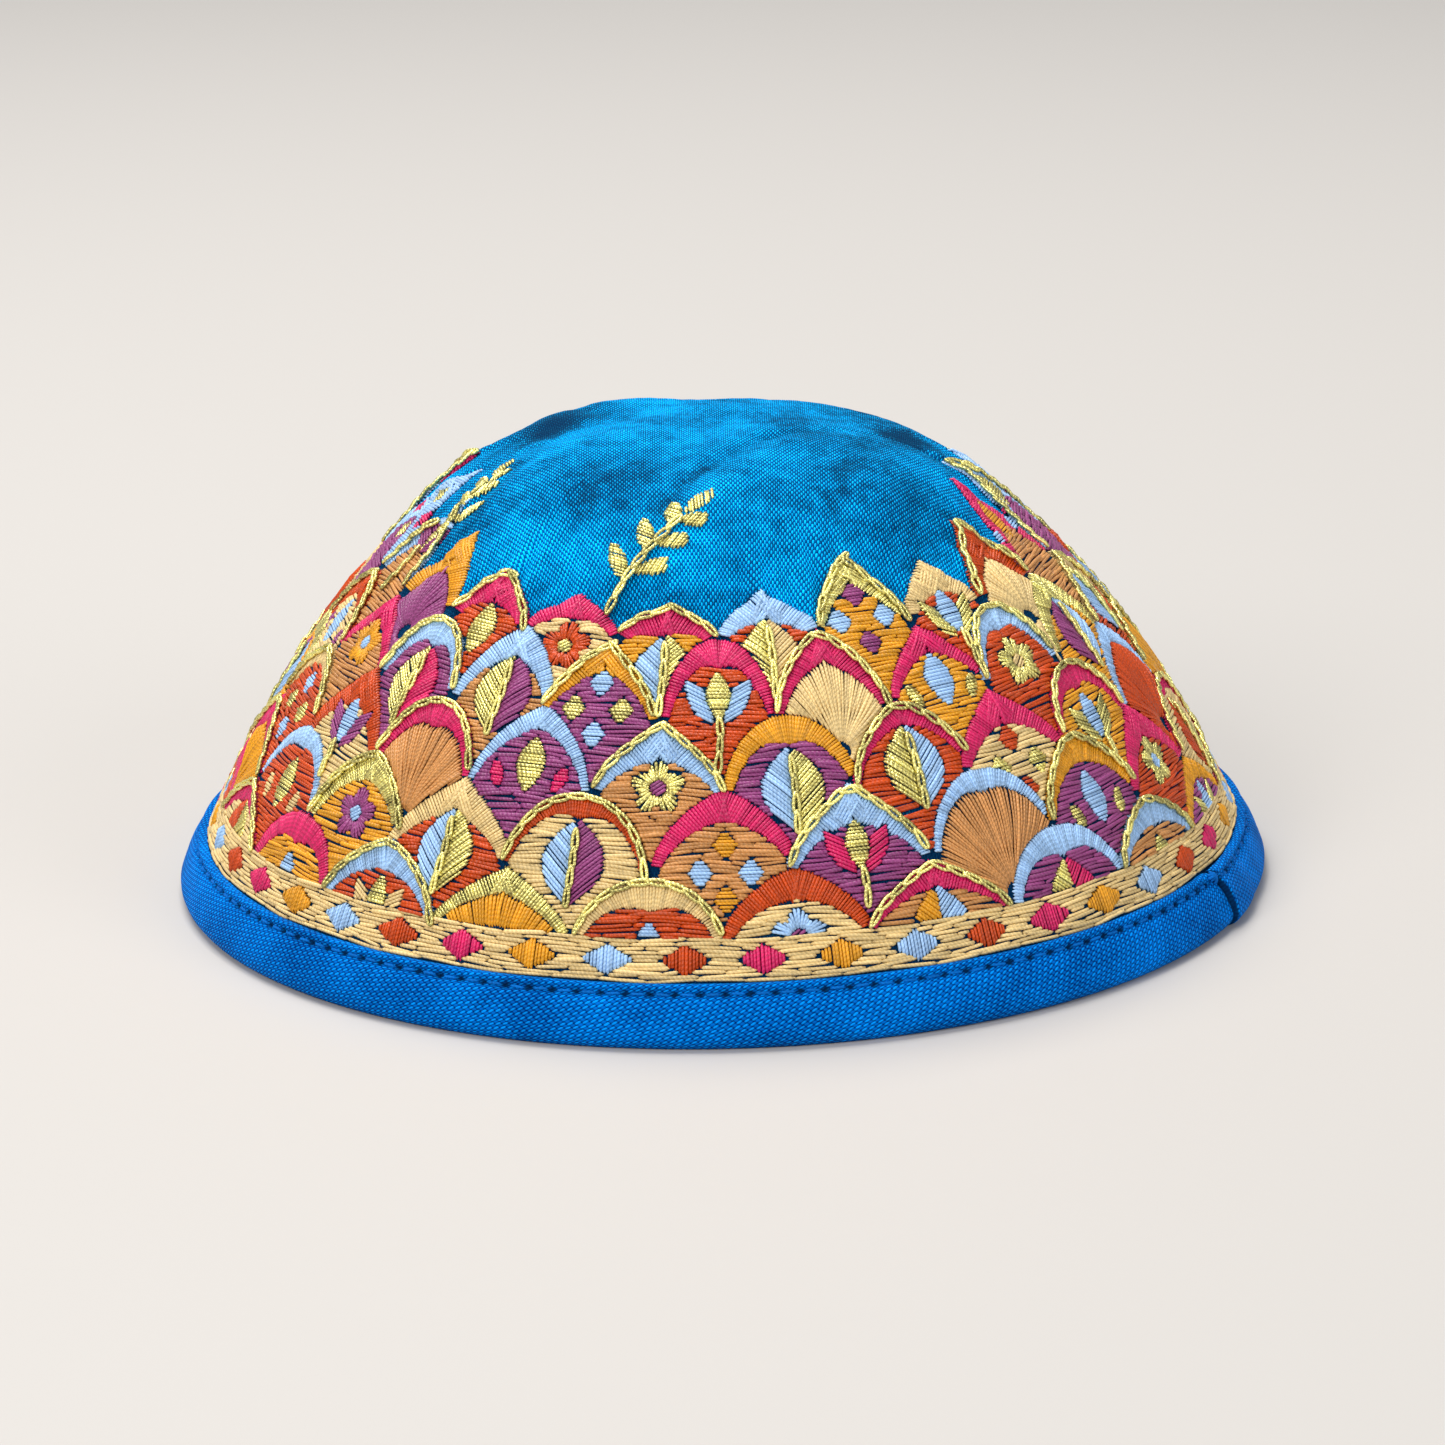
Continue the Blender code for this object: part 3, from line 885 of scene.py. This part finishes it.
def stitch_bundle(chosen, rings, rows):
    """The runs of one ring count as tubes that rise from the cloth and dip back into it."""
    ring_at = np.concatenate(([0.0], np.linspace(0.07, 0.93, rings - 2), [1.0]))
    turn, up = (np.array([np.interp(ring_at, np.linspace(0, 1, len(run[part])), run[part]) for run in chosen])
                for part in (1, 2))
    ragged = chance.uniform(-0.08, 0.22, (2, len(chosen))) * MM
    for end, inner, spare in ((0, 1, ragged[0]), (-1, -2, ragged[1])):
        x = (turn[:, end] - turn[:, inner]) * girth_at(up[:, end])
        y = up[:, end] - up[:, inner]
        size = np.maximum(np.hypot(x, y), SAMPLE)
        turn[:, end] += x / size * spare / girth_at(up[:, end])
        up[:, end] += y / size * spare
    if rows:
        up += ROW_SLANT * chance.normal(size=(len(chosen), 1)) * (2 * ring_at - 1)
    length = np.array([len(run[1]) for run in chosen]) * SAMPLE
    loft = ROW_LOFT if rows else np.clip(SATIN_LOFT + SATIN_RISE * length, 0, SATIN_MOST_LOFT)
    loft = loft + 0.05 * MM * chance.normal(size=len(chosen))
    arch = (1 - np.abs(2 * ring_at - 1) ** (6 if rows else 3)) ** 0.5
    lift = CLEAR_OF_CLOTH + np.multiply.outer(loft, arch)
    if rows:
        lift = lift + 0.04 * MM * chance.normal(size=lift.shape) * arch
    points, outward = over_cloth(turn, up, lift)
    size = (ROW_HALF_WIDTH if rows else SATIN_HALF_WIDTH) * (1 + 0.10 * chance.normal(size=len(chosen)))
    taper = np.ones(rings)
    taper[[0, -1]] = 0.45
    return bundle(points, outward, np.multiply.outer(size, taper), 0.9, 5)


COLOURS = {
    # thread: its colour
    "magenta": (0.63, 0.014, 0.120),
    "purple": (0.275, 0.050, 0.185),
    "rust": (0.54, 0.058, 0.002),
    "orange": (0.72, 0.32, 0.012),
    "tan": (0.55, 0.25, 0.076),
    "cream": (0.74, 0.54, 0.235),
    "light_blue": (0.34, 0.54, 0.82),
    "gold": (0.77, 0.685, 0.235),
}
TWIST = 0.55 * MM
FLECK_SCALE = 1500.0
PLY_RELIEF = 0.04 * MM


def thread_finish(name, colour, roughness, spread, gloss=0.4, metallic=0.0):
    """Shiny twisted thread of one colour: the plies' ridges, as bumps and as painted shade in the
    grooves between them with painted light on their crests, and the slow change of tone along and
    between stitches, as strong as its spread."""
    material, tree, shader = new_material(name, {
        "Roughness": roughness, "Specular IOR Level": gloss, "Metallic": metallic,
    })
    lines = add_node(tree, "Attribute", attribute_name="thread").outputs["Vector"]
    round_x, round_y, along = add_node(tree, "SeparateXYZ", {0: lines}).outputs
    tone = add_node(tree, "Attribute", attribute_name="tone").outputs["Fac"]
    phase = maths(tree, "MULTIPLY", ("DIVIDE", along, TWIST), math.tau)
    ridge = maths(tree, "MULTIPLY_ADD", ("SINE", phase), round_x, ("MULTIPLY", ("COSINE", phase), round_y))
    place = add_node(tree, "TexCoord").outputs["Object"]
    flecks = add_node(tree, "TexNoise", {"Vector": place, "Scale": FLECK_SCALE, "Detail": 1.0}).outputs[0]
    # The ridge also shifts the colour: painted shade in the plies' grooves, painted light on their crests
    uneven = maths(tree, "MULTIPLY_ADD", ridge, 0.3, ("SUBTRACT", ("ADD", tone, flecks), 1.0))
    shade = maths(tree, "MULTIPLY_ADD", uneven, spread, 1.0)
    shaded = add_node(tree, "VectorMath", {0: colour, 3: shade}, operation="SCALE").outputs[0]
    bump = add_node(tree, "Bump", {"Strength": 0.7, "Distance": PLY_RELIEF, "Height": ridge}).outputs[0]
    feed(tree, shader, {"Base Color": shaded, "Normal": bump})
    if metallic:
        feed(tree, shader, {"Roughness": add_node(tree, "MapRange", {
            0: flecks, 1: 0.35, 2: 0.65, 3: roughness + 0.15, 4: roughness - 0.15}).outputs[0]})
    return material


finishes = {name: thread_finish(name + "_thread", colour, 0.40, 0.38)
            for name, colour in COLOURS.items() if name != "gold"}
finishes["gold"] = thread_finish("gold_thread", COLOURS["gold"], 0.36, 0.75, metallic=0.75)

scene = bpy.context.scene
ROW_RING_STEP = 1.4 * MM
SATIN_RING_STEP = 4.0 * MM
for colour_name in COLOURS:
    groups = {}
    for run in runs:
        patch = patches[run[0]]
        if patch["colour"] == colour_name:
            rows = bool(patch.get("rows"))
            rings = 4 + min(int(len(run[1]) * SAMPLE / (ROW_RING_STEP if rows else SATIN_RING_STEP)), 5)
            groups.setdefault((rings, rows), []).append(run)
    bundles = [stitch_bundle(groups[key], *key) for key in sorted(groups)]
    piece = thread_piece("stitches_" + colour_name, bundles, finishes[colour_name])
    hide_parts("embroidery")

# Gold chain stitch
# One gold thread worked in loops, each caught through the last, along every other petal's
# outline and as the stems and midribs of the motifs. It lies on top of the satin.
LINK = 2.7 * MM
LINK_PITCH = 2.25 * MM
LINK_HALF_WIDTH = 0.39 * MM
LINK_THREAD = 0.24 * MM
LINK_POINTS = 12
CHAIN_INSET = 0.30 * MM
LOOK_INSIDE = 2.2 * CHAIN_INSET
LINK_LIFT = 0.55 * MM
LINK_HUMP = 0.22 * MM
chain_lines = []


def add_chain(turn, up, shown):
    """Keeps the shown stretches of a line that a chain follows."""
    for start, end in stretches(shown):
        across = np.diff(turn[start:end]) * girth_at(up[start:end - 1])
        length = length_along(across, np.diff(up[start:end]))
        if length[-1] > 1.4 * LINK_PITCH:
            chain_lines.append((turn[start:end], up[start:end], length))


for petal in petals:
    own = np.array(list(petal["patches"]))
    if petal["chained"]:
        turn, up, in_x, in_up = outline_path(petal, SAMPLE)
        shown = np.isin(owner(turn + in_x * LOOK_INSIDE / girth_at(up), up + in_up * LOOK_INSIDE), own)
        up = up + in_up * CHAIN_INSET
        add_chain(turn + in_x * CHAIN_INSET / girth_at(up), up, shown)
    for line in petal["chains"]:
        line = np.array(line) * MM
        share = np.linspace(0, len(line) - 1, 160)
        x = np.interp(share, np.arange(len(line)), line[:, 0])
        up = petal["tip"] + np.interp(share, np.arange(len(line)), line[:, 1])
        turn = petal["turn"] + x / girth_at(up)
        add_chain(turn, up, np.isin(owner(turn, up), own))

for turn, up, own in stems:
    add_chain(turn, up, np.isin(owner(turn, up), [0, *own]))

loop = np.arange(LINK_POINTS) / LINK_POINTS * math.tau
loop_along = LINK * (0.5 - 0.5 * np.cos(loop))
loop_across = LINK_HALF_WIDTH * np.sin(loop) * (0.55 + 0.45 * loop_along / LINK)
loop_lift = LINK_LIFT + LINK_HUMP * np.exp(-(((loop_along - 0.25 * LINK) / (0.3 * LINK)) ** 2))
link_turn, link_up = [], []
for turn, up, length in chain_lines:
    for start in np.arange(0, length[-1] - 0.5 * LINK, LINK_PITCH):
        here, there = ((np.interp(at, length, turn), np.interp(at, length, up))
                       for at in (start, start + LINK))
        way = np.array(((there[0] - here[0]) * girth_at(here[1]), there[1] - here[1]))
        way = way / max(np.hypot(*way), SAMPLE)
        jitter = 1 + 0.12 * chance.normal()
        x = loop_along * way[0] - loop_across * jitter * way[1]
        y = loop_along * way[1] + loop_across * jitter * way[0]
        link_up.append(here[1] + y)
        link_turn.append(here[0] + x / girth_at(here[1] + y))
link_turn, link_up = np.array(link_turn), np.array(link_up)
closed = np.r_[0:LINK_POINTS, 0]
points, outward = over_cloth(link_turn[:, closed], link_up[:, closed], loop_lift[closed])
links = bundle(points, outward, np.full(points.shape[:2], LINK_THREAD), 1, 5)
chain = thread_piece("chain_stitch_gold", [links], finishes["gold"])
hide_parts("embroidery")

# Rim tape
# A bias strip of deeper blue cotton, folded over the crown's edge and sewn through both
# leaves. Its end is turned in and laps over its start, a little to the right of the front.
SLOT = CLOTH / 2 + GAP
TAPE_SEAM = math.radians(335)
LAP_RISE = 0.7 * MM
LAP_LENGTH = 9.0 * MM
LAP_EDGE = 0.12 * MM
LAP_FOLD = 0.3 * MM
LAP_PRESS = 0.25 * MM
LAP_CURVE = 1.8 * MM
LAP_CURVE_REACH = 6 * MM
TOP_STITCH_UP = TAPE_WIDTH - 1.4 * MM
TOP_STITCHES = 144
STITCH_TURN = math.tau / TOP_STITCHES
GROOVE_DEPTH = 0.32 * MM
GROOVE_HALF_WIDTH = 0.40 * MM
HOLE_DEPTH = 0.34 * MM
# Painted shade on the tape: in the top-stitching's groove, deeper in its needle holes, and a painted shadow
# line along the turned-in end's edge at the lap
GROOVE_SHADE = 0.34
HOLE_SHADE = 0.90
SHADE_HALF_WIDTH = 0.90 * GROOVE_HALF_WIDTH
LAP_SHADE = 1.5
FACE_CALM = 2 * MM
LIP_ROUND = 0.5 * MM
PUFF = 0.16 * MM
SECTIONS_PER_STITCH = 5
TAPE_WAVES = ripples(9 * MM, 30 * MM, 12)
TAPE_WAVE_DEPTH = 0.07 * MM


def needle_holes(turn):
    """Near 1 where the top-stitching goes through the tape, and 0 between."""
    return np.abs(np.cos(turn * TOP_STITCHES / 2)) ** 8


def tape_face(turn, up, side):
    """How far a leaf's outer face lies off the middle of the wall, outside or inside."""
    to_lip = np.clip((up - (TAPE_WIDTH - LIP_ROUND)) / LIP_ROUND, 0, 1)
    thick = TAPE * np.sqrt(1 - to_lip ** 2)
    groove = (GROOVE_DEPTH + HOLE_DEPTH * needle_holes(turn - TAPE_SEAM)) * np.exp(
        -(((up - TOP_STITCH_UP) / GROOVE_HALF_WIDTH) ** 2))
    puff = PUFF * np.sin(math.pi * np.clip(up / TOP_STITCH_UP, 0, 1)) ** 2
    place = np.stack(np.broadcast_arrays(EDGE_RADIUS * np.cos(turn), EDGE_RADIUS * np.sin(turn), up), axis=-1)
    waves = TAPE_WAVE_DEPTH * swell(place, TAPE_WAVES) * np.clip(up / FACE_CALM, 0, 1)
    lap = 0.0
    if side > 0:
        back = ((turn - TAPE_SEAM) % math.tau) * EDGE_RADIUS
        lap = LAP_RISE * np.sqrt(np.clip(1 - back / LAP_LENGTH, 0, 1) * np.clip(0.35 + back / LAP_FOLD, 0, 1))
        ahead = math.tau * EDGE_RADIUS - back
        lap = lap - LAP_PRESS * np.exp(-((ahead / (2 * LAP_FOLD)) ** 2)) * np.clip(up / FACE_CALM, 0, 1)
    return side * (SLOT + (thick - groove + puff + waves) * (1 - to_lip ** 4) + lap)


def from_seam(turn):
    """The length along the rim from the turned-in end's edge."""
    return ((turn - TAPE_SEAM + math.pi) % math.tau - math.pi) * EDGE_RADIUS


def seam_lean(turn, up):
    """How far the turned-in end's edge curves back along the rim, as an azimuth."""
    near = np.exp(-((from_seam(turn) / LAP_CURVE_REACH) ** 2))
    return LAP_CURVE / EDGE_RADIUS * (up / TAPE_WIDTH) ** 2 * near


def fold_round():
    """The fold under the crown's edge, from the outer leaf to the inner one, with the flat
    that it rests on, as (radius, height)."""
    outer_turn = math.atan2(wall_out_height[0], wall_out_radius[0])
    flat = math.acos(EDGE_HEIGHT / FOLD_RADIUS)
    arcs = (np.linspace(outer_turn, flat - math.pi / 2, 6)[1:],
            np.linspace(-flat - math.pi / 2, outer_turn - math.pi, 5)[:-1])
    turns = np.concatenate(arcs)
    return EDGE_RADIUS + FOLD_RADIUS * np.cos(turns), EDGE_HEIGHT + FOLD_RADIUS * np.sin(turns)


# Places down the outer leaf, up the inner one and in the slot, from the tape's upper edge
OUTER_UPS = TAPE_WIDTH - np.array((0, 0.06, 0.2, 0.5, 0.8, 1.1, 1.4, 1.7, 2.0, 2.6, 3.4, 4.2, 5.0, 5.5)) * MM
INNER_UPS = TAPE_WIDTH - np.array((5.3, 3.6, 2.2, 1.4, 0.8, 0.3, 0)) * MM
SLOT_UPS = TAPE_WIDTH - np.array((2.8, 5.8)) * MM

even_turns = np.arange(TOP_STITCHES * SECTIONS_PER_STITCH) * STITCH_TURN / SECTIONS_PER_STITCH
beside_seam = np.array((LAP_FOLD, -2 * LAP_FOLD, -LAP_FOLD, -LAP_EDGE)) / EDGE_RADIUS % math.tau
tape_turns = TAPE_SEAM + np.sort(np.concatenate((even_turns, beside_seam)))
fold_radii, fold_heights = fold_round()
ground = np.zeros((1, 1))
lap_here = tape_face(tape_turns[:, None], ground, 1) - tape_face(ground, ground, 1)
outward_share = np.clip((fold_radii - EDGE_RADIUS) / FOLD_RADIUS, 0, 1)
fold_radii = fold_radii + lap_here * outward_share
leaves = [off_wall(ups[None, :], tape_face(tape_turns[:, None], ups[None, :], side))
          for ups, side in ((OUTER_UPS, 1), (INNER_UPS, -1))]
slot = [off_wall(np.broadcast_to(ups, (len(tape_turns), len(ups))), side * SLOT)
        for ups, side in ((SLOT_UPS, -1), (SLOT_UPS[::-1], 1))]
section = [leaves[0], (fold_radii, np.broadcast_to(fold_heights, fold_radii.shape)), leaves[1], *slot]
tape_radius, tape_height = (np.concatenate(parts, axis=1)[:, ::-1] for parts in zip(*section))

# The same places up the outer leaf alone, with 0 round the fold's outer half and -1 elsewhere
fold_face = np.count_nonzero(outward_share > 0)
unseen = np.full(tape_radius.shape[1] - len(OUTER_UPS) - fold_face, -1.0)
outer_ups = np.concatenate((OUTER_UPS, np.zeros(fold_face), unseen))[::-1]

deselect_all()
around, across = tape_radius.shape
bpy.ops.mesh.primitive_grid_add(x_subdivisions=around, y_subdivisions=across, size=1)
tape = bpy.context.object
tape.name = "rim_tape_cloth"
tape.data.name = "rim_tape_cloth"
grid = mesh_points(tape.data)
column = np.round((grid[:, 0] + 0.5) * around).astype(int)
row = np.round((grid[:, 1] + 0.5) * across).astype(int)
spot = (column % around, row % across)
radius, height = tape_radius[spot], tape_height[spot]
turn, up = tape_turns[spot[0]], outer_ups[spot[1]]
# The tape's painted shade and painted shadow line, as one number a point
in_groove = np.exp(-(((up - TOP_STITCH_UP) / SHADE_HALF_WIDTH) ** 2))
at_seam = LAP_SHADE * np.exp(-(((from_seam(turn) + 0.6 * LAP_FOLD) / (0.9 * LAP_FOLD)) ** 2)) * (up >= 0)
tape_shade = in_groove * (GROOVE_SHADE + HOLE_SHADE * needle_holes(turn - TAPE_SEAM)) + at_seam
mark_points(tape.data, "shaded", np.clip(tape_shade, 0, 1))
turn = turn - seam_lean(turn, np.maximum(up, 0))
set_mesh_points(tape.data, np.stack((radius * np.cos(turn), radius * np.sin(turn), height), axis=1))
long_way = np.append(tape_turns, TAPE_SEAM + math.tau) * EDGE_RADIUS
short_way = length_along(*(np.diff(line[0], append=line[0, :1]) for line in (tape_radius, tape_height)))
lay_weave(tape.data, np.stack((long_way[column], short_way[row]), axis=1))
settle(tape)
bpy.ops.object.mode_set(mode="EDIT")
bpy.ops.mesh.select_all(action="SELECT")
bpy.ops.mesh.remove_doubles(threshold=0.001 * MM)
bpy.ops.object.mode_set(mode="OBJECT")
bpy.ops.object.shade_smooth_by_angle(angle=math.radians(60))
TAPE_YARNS = (0.32 * MM, 0.54 * MM)
TAPE_STRETCH = 0.675
# Colours: the painted shade in the weave's holes, then the dull and the bright yarns
tape.data.materials.append(woven_finish(
    "blue_bias_tape", TAPE_YARNS, turned=math.radians(45), stretch=TAPE_STRETCH,
    opening=0.24, wear=0.4, colours=((0.000, 0.014, 0.13), (0.000, 0.125, 0.55), (0.001, 0.27, 0.90)),
    sheen_tint=(0.03, 0.35, 1.0), depth=0.12 * MM,
))
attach(tape, "root")
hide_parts("rim_tape")

# Top-stitching
# The row of blue thread that holds the tape, seen on both leaves, and the few rough stitches
# that tack down the turned-in end.
DASH_SHARE = 0.66
DASH_POINTS = 7
DASH_THREAD = 0.19 * MM
DASH_WANDER = 0.06 * MM
DASH_ARCH = 0.24 * MM
DASH_SINK = 0.16 * MM
TACK_ARCH = 0.35 * MM
TACKS = (
    # from and to, as millimetres along the rim from the seam and down from the upper edge
    (-2.6, 0.5, -0.8, 1.3),
    (-2.4, 1.3, -0.6, 0.6),
    (-2.8, 0.9, -1.2, 0.9),
    (-1.9, 0.3, -1.5, 1.9),
    (-1.4, 0.4, -1.9, 1.8),
    (-0.9, 0.8, 0.6, 1.6),
)
dash_share = np.linspace(-0.5, 0.5, DASH_POINTS)
dash_arch = np.sqrt(1 - np.abs(2 * dash_share) ** 4)


def laid_threads(turns, ups, out, side, half_width, flatness):
    """Stitches that lie on a leaf of the tape, as a bundle of tubes."""
    points = on_wall(turns, ups, out)
    outward = on_wall(turns, ups, out + side * MM) - points
    return bundle(points, outward / MM, np.broadcast_to(half_width, points.shape[:2]), flatness, 6)


dash_turns = TAPE_SEAM + (np.arange(TOP_STITCHES)[:, None] + 0.5 + DASH_SHARE * dash_share) * STITCH_TURN
bundles = []
for side in (1, -1):
    wander = DASH_WANDER * chance.normal(size=(TOP_STITCHES, 2))
    dash_ups = TOP_STITCH_UP + wander[:, :1] + (wander[:, 1:] - wander[:, :1]) * (dash_share + 0.5)
    laid_on = dash_turns + seam_lean(dash_turns, dash_ups)
    dash_out = tape_face(laid_on, dash_ups, side) + side * (DASH_ARCH * dash_arch - DASH_SINK)
    thick = DASH_THREAD * (0.6 + 0.4 * dash_arch)
    bundles.append(laid_threads(dash_turns, dash_ups, dash_out, side, thick, 0.8))
tacks = np.array(TACKS) * MM
tack_turns = TAPE_SEAM + (tacks[:, :1] + (tacks[:, 2:3] - tacks[:, :1]) * (dash_share + 0.5)) / EDGE_RADIUS
tack_ups = TAPE_WIDTH - tacks[:, 1:2] - (tacks[:, 3:4] - tacks[:, 1:2]) * (dash_share + 0.5)
tack_out = SLOT + TAPE + TACK_ARCH * dash_arch
bundles.append(laid_threads(tack_turns, tack_ups, tack_out, 1, DASH_THREAD, 1))
blue_thread = thread_finish("blue_thread", (0.0, 0.135, 0.52), 0.65, 0.3, gloss=0.08)
thread_piece("rim_top_stitch", bundles, blue_thread)

# Floor, light and camera
# A plain pale floor under soft studio light, seen from the front and a little above.
FLOOR_SIZE = 8.0
deselect_all()
bpy.ops.mesh.primitive_plane_add(size=FLOOR_SIZE)
floor = bpy.context.object
floor.name = "floor"
floor_paint, _, _ = new_material("pale_floor", {"Roughness": 0.6, "Base Color": (0.50, 0.48, 0.455, 1.0)})
floor.data.materials.append(floor_paint)

scene.view_settings.view_transform = "Standard"
scene.world = bpy.data.worlds.new("studio")
scene.world.use_nodes = True
sky = scene.world.node_tree.nodes["Background"]
sky.inputs["Color"].default_value = (0.93, 0.96, 1.0, 1.0)
sky.inputs["Strength"].default_value = 0.30

AIM = Vector((0.0004, 0.0, 0.0191))
LAMPS = (
    # name, place, size, watts, colour
    ("overhead", (-0.20, 0.40, 1.10), 0.8, 17.0, (1.0, 0.98, 0.96)),
    ("front_left", (-0.75, -0.95, 0.85), 0.6, 12.0, (1.0, 0.97, 0.94)),
    ("front_right", (0.95, -0.80, 0.60), 0.6, 6.0, (0.95, 0.97, 1.0)),
)
for name, lamp_place, size, watts, tint in LAMPS:
    lamp_data = bpy.data.lights.new(name, "AREA")
    lamp_data.size = size
    lamp_data.energy = watts
    lamp_data.color = tint
    lamp = bpy.data.objects.new(name, lamp_data)
    lamp.location = lamp_place
    lamp.rotation_euler = (AIM - Vector(lamp_place)).to_track_quat("-Z", "Y").to_euler()
    scene.collection.objects.link(lamp)

CAMERA_DISTANCE = 0.650
CAMERA_RISE = math.radians(16.73)
CAMERA_ROLL = math.radians(1.31)
LENS = 125.7
lens_data = bpy.data.cameras.new("camera")
lens_data.sensor_width = 36.0
lens_data.lens = LENS
lens_data.clip_start = 0.01
camera = bpy.data.objects.new("camera", lens_data)
back = Vector((0, -math.cos(CAMERA_RISE), math.sin(CAMERA_RISE)))
tilt = Matrix.Rotation(math.pi / 2 - CAMERA_RISE, 4, "X") @ Matrix.Rotation(-CAMERA_ROLL, 4, "Z")
camera.matrix_world = Matrix.Translation(AIM + back * CAMERA_DISTANCE) @ tilt
scene.collection.objects.link(camera)
scene.camera = camera
